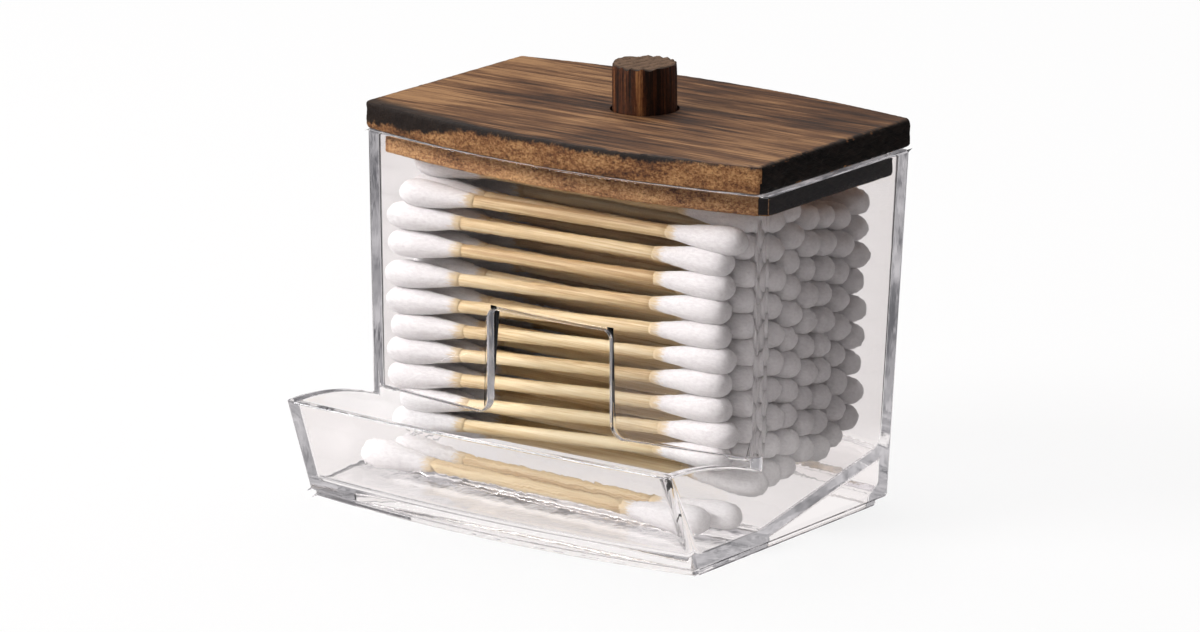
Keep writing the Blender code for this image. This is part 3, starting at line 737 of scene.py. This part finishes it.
def roughSlab(name, size, materials, hole=None):
    work = bmesh.new()
    rows = []
    for inset, z in slabLevels(size):
        row = []
        for x, y in barrelOutline(size, inset):
            point = Vector((x, y, z))
            grain = noise.fractal(point * sawn["scale"], *sawn["settings"])
            dent = size["rough"] * max(sawn["least"], min(1.0, 0.5 + grain))
            inward = Vector((-x * sawn["sideLean"], -y, 0.0))
            if abs(x) > size["halfWidth"] - size["corner"] - inset:
                lean = -sawn["endLean"] * y / sawn["endLeanSpan"]
                inward = Vector((-math.copysign(1.0, x), lean, 0.0))
            inward.normalize()
            row.append(work.verts.new(point + inward * dent))
        rows.append(row)
    count = len(rows[0])
    for row, following in zip(rows, rows[1:]):
        for i in range(count):
            j = (i + 1) % count
            work.faces.new((row[i], row[j], following[j], following[i]))
    work.faces.new(list(reversed(rows[0])))
    if hole:
        sides = hole["holeSides"]
        ring = [(hole["x"] + hole["hole"] * math.cos(a), hole["y"] + hole["hole"] * math.sin(a))
                for a in roundAngles(sides)]
        top = [work.verts.new((x, y, size["topZ"])) for x, y in ring]
        bottom = [work.verts.new((x, y, hole["holeZ"])) for x, y in ring]
        edges = [work.edges.new((top[i], top[(i + 1) % sides])) for i in range(sides)]
        rim = [work.edges.get((rows[-1][i], rows[-1][(i + 1) % count])) for i in range(count)]
        bmesh.ops.triangle_fill(work, edges=edges + rim, use_beauty=True)
        for i in range(sides):
            j = (i + 1) % sides
            work.faces.new((top[i], top[j], bottom[j], bottom[i]))
        work.faces.new(bottom)
    else:
        work.faces.new(rows[-1])
    bmesh.ops.recalc_face_normals(work, faces=work.faces)
    # materials: 0 top and underside, 1 front and back, 2 ends
    for face in work.faces:
        steep = [abs(part) > steepFace for part in face.normal]
        face.material_index = 0 if steep[2] else 2 if steep[0] else 1
    return meshPiece(name, work, materials, smooth=55.0)


def makeKnob():
    k = knobSize
    work = bmesh.new()
    sides = k["sides"]
    centre = Vector((k["x"], k["y"], 0.0))

    def rim(angle):
        scale = k["rippleScale"]
        ripple = noise.noise(Vector((scale * math.cos(angle), scale * math.sin(angle), 3.0)))
        return k["radius"] * (1.0 - k["ripple"] * (1.0 + ripple))

    def ridge(x, y):
        # saw cuts across the end, running from front to back
        wander = k["wander"] * noise.noise(Vector((x * 0.3, y * 0.25, 7.0)))
        alongX, alongY = k["ridgeAcross"]
        saw = ((alongX * x - alongY * y + wander) / k["ridgePitch"]) % 1.0
        rising = saw < k["ridgeRise"]
        depth = saw / k["ridgeRise"] if rising else (1.0 - saw) / k["ridgeFall"]
        return -k["ridge"] * depth * (0.75 + 0.5 * noise.noise(Vector((x * 0.5, y * 0.8, 1.0))))

    levels = [k["lowZ"]] + [
        k["lowZ"] + k["firstRow"] + k["rowStep"] * i for i in range(k["rows"])]
    rows = []
    for z in levels:
        rows.append([work.verts.new(centre + Vector((
            rim(a) * math.cos(a), rim(a) * math.sin(a), z))) for a in roundAngles(sides)])
    sideRows = len(rows)
    for share in k["endRows"]:
        fall = k["chamfer"] if share == k["endRows"][0] else 0.0
        row = []
        for a in roundAngles(sides):
            x, y = rim(a) * share * math.cos(a), rim(a) * share * math.sin(a)
            row.append(work.verts.new(centre + Vector((x, y, k["topZ"] - fall + ridge(x, y)))))
        rows.append(row)
    for index, (row, following) in enumerate(zip(rows, rows[1:])):
        for i in range(sides):
            j = (i + 1) % sides
            face = work.faces.new((row[i], row[j], following[j], following[i]))
            face.material_index = 1 if index >= sideRows else 0
    work.faces.new(rows[-1]).material_index = 1
    work.faces.new(list(reversed(rows[0])))
    bmesh.ops.recalc_face_normals(work, faces=work.faces)
    return meshPiece("lidKnob", work, (knobWood(), knobEndWood(k)), smooth=38.0)


def makeLid():
    board = roughSlab("lidBoard", lidSize, (
        lidTopWood(lidSize), lidFrontWood(lidSize), lidEndWood()), knobSize)
    plug = roughSlab("lidPlug", plugSize, (
        lidFrontWood(plugSize, False), lidFrontWood(plugSize, False), lidEndWood()))
    knob = makeKnob()
    for piece, node, slot in (
            (board, "lid_board", "lid_wood"), (plug, "lid_plug", "plug_wood"),
            (knob, "lid_knob", "knob_wood")):
        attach(piece, "lid")
        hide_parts(node)
    print("lid made")


makeLid()


# swabs

swabSize = {
    "halfLength": 36.9, "stick": 1.15, "stickFrom": 13.5, "stickSides": 14, "stickSteps": 10,
    "tipSides": 20,
    # distance in from the end, radius
    "tip": [(0.0, 0.0), (0.10, 0.75), (0.40, 1.38), (0.95, 1.90), (1.75, 2.25), (2.9, 2.44),
            (4.3, 2.48), (5.8, 2.42), (7.4, 2.28), (9.0, 2.08), (10.5, 1.87), (12.0, 1.66),
            (13.4, 1.48), (14.6, 1.33), (15.6, 1.22), (16.3, 1.13)]}
pile = {
    # front column, bottom up: heights of the left and the right end, middle's x
    "front": [
        (9.6, 14.7, -3.2), (13.8, 18.9, -1.5), (18.1, 23.2, -3.0), (22.6, 27.7, -3.1),
        (27.1, 31.9, -2.2), (31.6, 36.1, -3.2), (36.5, 40.5, -3.2), (42.2, 44.7, -2.5),
        (47.2, 48.9, -2.6), (51.7, 53.0, 0.2)],
    # the columns behind it: lowest swab, pitch, number of swabs
    "columns": [(9.0, 4.69, 11), (9.6, 5.01, 10), (10.0, 4.53, 11), (12.2, 4.53, 10),
                (11.35, 4.53, 10), (12.75, 4.74, 9), (14.9, 4.7, 9)],
    "pressed": (3, 4, 5), "station": 0.88, "centreX": -1.0, "cadTip": 2.05,
    # unevenness of those columns: amount in mm, then its run per swab and per column
    "shift": (0.5, 2.4, 1.7), "rise": (0.35, 0.5, 0.7), "turn": (0.05, 0.6, -0.8),
    # X and Y of the two swabs that lie on the floor
    "inTray": (-2.3, -27.9), "underSlot": (0.7, -22.8)}
# how far the surface puffs in mm, the size of the puffs and the seed of the swabs' roll
swabPuff = {"tips": (0.35, 700.0, 4), "sticks": (0.10, 300.0, 9)}
lyingZ = b["floorZ"] + pile["cadTip"] + gap


def turned(name, profile, sides):
    # turns (distance along X, radius) points about the X axis
    work = bmesh.new()
    rows = []
    for x, radius in profile:
        if radius == 0.0:
            rows.append([work.verts.new((x, 0.0, 0.0))])
        else:
            rows.append([work.verts.new((x, radius * math.cos(a), radius * math.sin(a)))
                         for a in roundAngles(sides)])
    for row, following in zip(rows, rows[1:]):
        for i in range(sides):
            j = (i + 1) % sides
            if len(row) == 1:
                work.faces.new((row[0], following[j], following[i]))
            elif len(following) == 1:
                work.faces.new((row[i], row[j], following[0]))
            else:
                work.faces.new((row[i], row[j], following[j], following[i]))
    for row in (rows[0], rows[-1]):
        if len(row) > 1:
            work.faces.new(row)
    bmesh.ops.recalc_face_normals(work, faces=work.faces)
    mesh = bpy.data.meshes.new(name)
    for vert in work.verts:
        vert.co *= mm
    work.to_mesh(mesh)
    work.free()
    piece = bpy.data.objects.new(name, mesh)
    bpy.context.scene.collection.objects.link(piece)
    return piece


def columnY(column, z):
    # the columns share out the room between the walls, near the swabs' ends
    s = pile["station"]
    reach = pile["cadTip"] + gap
    front = frontAt(-b["halfDepth"] + b["wall"], b["frontBulge"], s, b["innerCorner"]) + reach
    back = innerBack(z, s) - reach
    return front + (back - front) * column / len(pile["columns"])


def sway(which, row, column):
    amount, perSwab, perColumn = pile[which]
    return amount * math.sin(perSwab * row + perColumn * column)


def pilePlaces():
    # centre and direction of every swab in the bin
    half = swabSize["halfLength"]
    places = []
    for left, right, x in pile["front"]:
        z = 0.5 * (left + right)
        places.append(((x, columnY(0, z), z), (half, 0.0, 0.5 * (right - left))))
    for column, (low, pitch, count) in enumerate(pile["columns"], 1):
        for row in range(count):
            z = low + row * pitch
            x = pile["centreX"] + sway("shift", row, column)
            rise = turn = 0.0
            if column not in pile["pressed"]:
                rise, turn = sway("rise", row, column), sway("turn", row, column)
            places.append(((x, columnY(column, z), z), (half, turn, rise)))
    places.append(((*pile["underSlot"], lyingZ), (1.0, 0.0, 0.0)))
    return places


def swabPoints(name, places):
    # one vertex for each swab, with how it lies
    mesh = bpy.data.meshes.new(name)
    mesh.from_pydata([Vector((x, y + binY, z)) * mm for (x, y, z), _ in places], [], [])
    lay = mesh.attributes.new("lay", "FLOAT_VECTOR", "POINT")
    for i, (_, direction) in enumerate(places):
        euler = Vector(direction).to_track_quat("X", "Z").to_euler()
        lay.data[i].vector = euler
    piece = bpy.data.objects.new(name, mesh)
    bpy.context.scene.collection.objects.link(piece)
    return piece


def swabTree(name):
    # puts the shape on every point, rolls it, puffs its surface and gives it its finish
    tree = bpy.data.node_groups.new(name, "GeometryNodeTree")
    face = tree.interface
    face.new_socket("Geometry", in_out="INPUT", socket_type="NodeSocketGeometry")
    face.new_socket("Geometry", in_out="OUTPUT", socket_type="NodeSocketGeometry")
    for label, kind in (("Shape", "NodeSocketObject"), ("Finish", "NodeSocketMaterial"),
                        ("Puff", "NodeSocketFloat"), ("Puff size", "NodeSocketFloat"),
                        ("Roll seed", "NodeSocketInt")):
        face.new_socket(label, in_out="INPUT", socket_type=kind)
    nodes, links = tree.nodes, tree.links

    def node(kind, settings=(), inputs=()):
        made = nodes.new(kind)
        for key, value in dict(settings).items():
            setattr(made, key, value)
        for key, value in dict(inputs).items():
            if isinstance(value, bpy.types.NodeSocket):
                links.new(value, made.inputs[key])
            else:
                made.inputs[key].default_value = value
        return made

    given = node("NodeGroupInput").outputs
    shape = node("GeometryNodeObjectInfo", (), {"Object": given["Shape"]})
    lay = node("GeometryNodeInputNamedAttribute", {"data_type": "FLOAT_VECTOR"}, {"Name": "lay"})
    roll = node("FunctionNodeRandomValue", {"data_type": "FLOAT"}, {
        "Min": 0.0, "Max": 2.0 * math.pi, "Seed": given["Roll seed"]})
    axis = node("ShaderNodeCombineXYZ", (), {"X": roll.outputs[1]})
    placed = node("GeometryNodeInstanceOnPoints", (), {
        "Points": given["Geometry"], "Instance": shape.outputs["Geometry"],
        "Rotation": lay.outputs[0]})
    rolled = node("GeometryNodeRotateInstances", (), {
        "Instances": placed.outputs[0], "Rotation": axis.outputs[0]})
    real = node("GeometryNodeRealizeInstances", (), {"Geometry": rolled.outputs[0]})
    position = node("GeometryNodeInputPosition")
    normal = node("GeometryNodeInputNormal")
    lumps = node("ShaderNodeTexNoise", (), {
        "Vector": position.outputs[0], "Scale": given["Puff size"], "Detail": 3.0})
    centred = node("ShaderNodeMath", {"operation": "SUBTRACT"}, {
        0: lumps.outputs[0], 1: 0.5})
    swell = node("ShaderNodeMath", {"operation": "MULTIPLY"}, {
        0: centred.outputs[0], 1: given["Puff"]})
    push = node("ShaderNodeVectorMath", {"operation": "SCALE"}, {
        0: normal.outputs[0], "Scale": swell.outputs[0]})
    moved = node("GeometryNodeSetPosition", (), {
        "Geometry": real.outputs[0], "Offset": push.outputs[0]})
    finished = node("GeometryNodeSetMaterial", (), {
        "Geometry": moved.outputs[0], "Material": given["Finish"]})
    node("NodeGroupOutput", (), {"Geometry": finished.outputs[0]})
    return tree


def growSwabs(name, tree, places, settings, body, nodes):
    piece = swabPoints(name, places)
    modifier = piece.modifiers.new("swabs", "NODES")
    modifier.node_group = tree
    for item in tree.interface.items_tree:
        if item.item_type == "SOCKET" and item.in_out == "INPUT" and item.name in settings:
            modifier[item.identifier] = settings[item.name]
    piece.update_tag()
    bpy.context.view_layer.update()
    mesh = evaluatedMesh(piece)
    piece.modifiers.clear()
    piece.data = mesh
    mesh.name = name
    mesh.shade_smooth()
    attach(piece, body)
    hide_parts(*nodes)
    return piece


def makeSwabs():
    cotton = cottonFinish()
    bamboo = bambooFinish()
    half = swabSize["halfLength"]
    tips = [(-half + along, radius) for along, radius in swabSize["tip"]]
    left = turned("tip shape", tips, swabSize["tipSides"])
    along = left.data.attributes.new("along", "FLOAT", "POINT")
    for vert in left.data.vertices:
        along.data[vert.index].value = vert.co.x / mm + half
    work = bmesh.new()
    work.from_mesh(left.data)
    other = work.copy()
    bmesh.ops.transform(other, matrix=Matrix.Rotation(math.pi, 4, "Z"), verts=other.verts)
    scratch = bpy.data.meshes.new("other tip")
    other.to_mesh(scratch)
    work.from_mesh(scratch)
    work.to_mesh(left.data)
    work.free()
    other.free()
    bpy.data.meshes.remove(scratch)
    reach, steps = half - swabSize["stickFrom"], swabSize["stickSteps"]
    stickProfile = [(reach * (2.0 * i / steps - 1.0), swabSize["stick"])
                    for i in range(steps + 1)]
    stick = turned("stick shape", stickProfile, swabSize["stickSides"])
    tree = swabTree("swab rows")
    inBin = [n for n in frame["record"]["behaviour"]["bodies"]["bin"] if n.startswith("swab")]
    inTray = ["swab_in_tray"]
    trayPlace = [((*pile["inTray"], lyingZ), (1.0, 0.0, 0.0))]
    tipLook, stickLook = [
        {"Shape": shape, "Finish": finish, "Puff": puff * mm, "Puff size": size,
         "Roll seed": seed}
        for shape, finish, (puff, size, seed) in (
            (left, cotton, swabPuff["tips"]), (stick, bamboo, swabPuff["sticks"]))]
    places = pilePlaces()
    growSwabs("pileTips", tree, places, tipLook, "bin", inBin)
    growSwabs("pileSticks", tree, places, stickLook, "bin", inBin)
    growSwabs("traySwabTips", tree, trayPlace, tipLook, "tray_swab", inTray)
    growSwabs("traySwabStick", tree, trayPlace, stickLook, "tray_swab", inTray)
    for shape in (left, stick):
        bpy.data.objects.remove(shape, do_unlink=True)
    print("swabs", len(places) + 1)


makeSwabs()


# studio

backdrop = Vector((-0.604, 0.797))  # level direction from the camera to the backdrop
studio = {
    # the bright strip behind the object: half its width and where its soft edge ends, on
    # the floor in metres and in the world as a share of the view
    "strip": 0.078, "stripEdge": 0.10, "stripFrom": (-0.12, -0.04),
    "worldStrip": 0.30, "worldStripEdge": 0.42, "worldStripFrom": (0.0, 0.3),
    "floorReach": 3000.0, "floorDrop": 0.00002, "floorMatt": (0.80, 0.79, 0.79),
    "floorGlow": 0.84, "floorDim": (0.10, 0.096, 0.10),
    "clear": (0.96, 0.935, 0.93), "clearDim": (0.13, 0.125, 0.135),
    "mirrored": (0.10, 0.096, 0.098), "shade": (0.13, 0.122, 0.122),
    "fill": (0.46, 0.435, 0.43), "fillFrom": (-0.4, 0.7),
    # lamps: place and size in metres, watts
    "key": ((-0.75, -0.80, 0.70), (0.6, 0.5), 12.5),
    "top": ((-0.2, 0.3, 1.1), (0.8, 0.8), 9.0), "lampsLookAt": (0.0, 0.0, 0.03)}


def rayKinds(f):
    # direct rays have met only clear or shiny surfaces since the camera
    path = f.add("ShaderNodeLightPath").socket.node.outputs
    camera, glossy, through = [
        Signal(f.tree, path["Is " + name + " Ray"])
        for name in ("Camera", "Glossy", "Transmission")]
    direct = 1.0 - Signal(f.tree, path["Diffuse Depth"]).least(1.0)
    return camera, glossy * direct, through * direct


def towardsBackdrop(f, output):
    # distance across the camera's line and along it, towards the backdrop
    x, y, _ = f.split(f.add("ShaderNodeTexCoord", output=output))
    return x * backdrop.y - y * backdrop.x, x * backdrop.x + y * backdrop.y


def makeStage():
    work = bmesh.new()
    bmesh.ops.create_grid(work, x_segments=1, y_segments=1, size=studio["floorReach"])
    floor = meshPiece("floor", work)
    floor.location.z = -studio["floorDrop"]
    f = Finish("white floor")
    camera, glossy, through = rayKinds(f)
    across, behind = towardsBackdrop(f, "Object")
    strip = f.ease(abs(across), studio["stripEdge"], studio["strip"])
    strip = strip * f.ease(behind, *studio["stripFrom"])
    colour = f.blend(strip, studio["floorDim"], studio["clear"])
    colour = f.blend(camera, colour, white)
    matt = f.add("ShaderNodeBsdfDiffuse", {"Color": studio["floorMatt"]})
    glow = f.add("ShaderNodeEmission", {"Color": colour, "Strength": 1.0})
    share = camera * studio["floorGlow"] + glossy.most(through) * (1.0 - camera)
    floor.data.materials.append(f.done(f.either(share, matt, glow)))


def makeWorld():
    world = bpy.data.worlds.new("studio")
    bpy.context.scene.world = world
    f = Finish("studio", world)
    camera, glossy, through = rayKinds(f)
    across, behind = towardsBackdrop(f, "Generated")
    strip = f.ease(abs(across), studio["worldStripEdge"], studio["worldStrip"])
    strip = strip * f.ease(behind, *studio["worldStripFrom"])
    clear = f.blend(strip, studio["clearDim"], studio["clear"])
    dim = f.blend(f.ease(behind, *studio["fillFrom"]), studio["shade"], studio["fill"])
    colour = f.blend(glossy, dim, studio["mirrored"])
    colour = f.blend(through, colour, clear)
    colour = f.blend(camera, colour, white)
    f.done(f.add("ShaderNodeBackground", {"Color": colour, "Strength": 1.0}),
           "ShaderNodeOutputWorld")


def areaLamp(name):
    place, size, power = studio[name]
    lamp = bpy.data.lights.new(name, "AREA")
    lamp.shape = "RECTANGLE"
    lamp.size, lamp.size_y = size
    lamp.energy = power
    holder = bpy.data.objects.new(name, lamp)
    bpy.context.scene.collection.objects.link(holder)
    holder.location = place
    aim = Vector(studio["lampsLookAt"]) - Vector(place)
    holder.rotation_euler = aim.to_track_quat("-Z", "Y").to_euler()


def makeCamera():
    # fitted to the photograph: place in mm from the bin's centre, angles in degrees
    shot = {
        "place": (688.23, -918.32, 334.58), "azimuth": -37.176, "elevation": -14.839,
        "roll": -0.308, "focalPixels": 6784.0, "width": 1200.0, "sensor": 36.0,
        "near": 0.05, "far": 20.0}
    camera = bpy.data.cameras.new("camera")
    camera.sensor_width = shot["sensor"]
    camera.lens = shot["focalPixels"] * shot["sensor"] / shot["width"]
    camera.clip_start = shot["near"]
    camera.clip_end = shot["far"]
    holder = bpy.data.objects.new("camera", camera)
    bpy.context.scene.collection.objects.link(holder)
    x, y, z = shot["place"]
    holder.location = Vector((x, y + binY, z)) * mm
    azimuth, elevation = math.radians(shot["azimuth"]), math.radians(shot["elevation"])
    ahead = Vector((math.sin(azimuth) * math.cos(elevation),
                    math.cos(azimuth) * math.cos(elevation), math.sin(elevation)))
    level = ahead.to_track_quat("-Z", "Y")
    turn = Matrix.Rotation(math.radians(shot["roll"]), 4, "Z")
    holder.rotation_euler = (level.to_matrix().to_4x4() @ turn).to_euler()
    bpy.context.scene.camera = holder


makeStage()
makeWorld()
areaLamp("key")
areaLamp("top")
makeCamera()
bpy.context.scene.view_settings.view_transform = "Standard"
print("studio made")
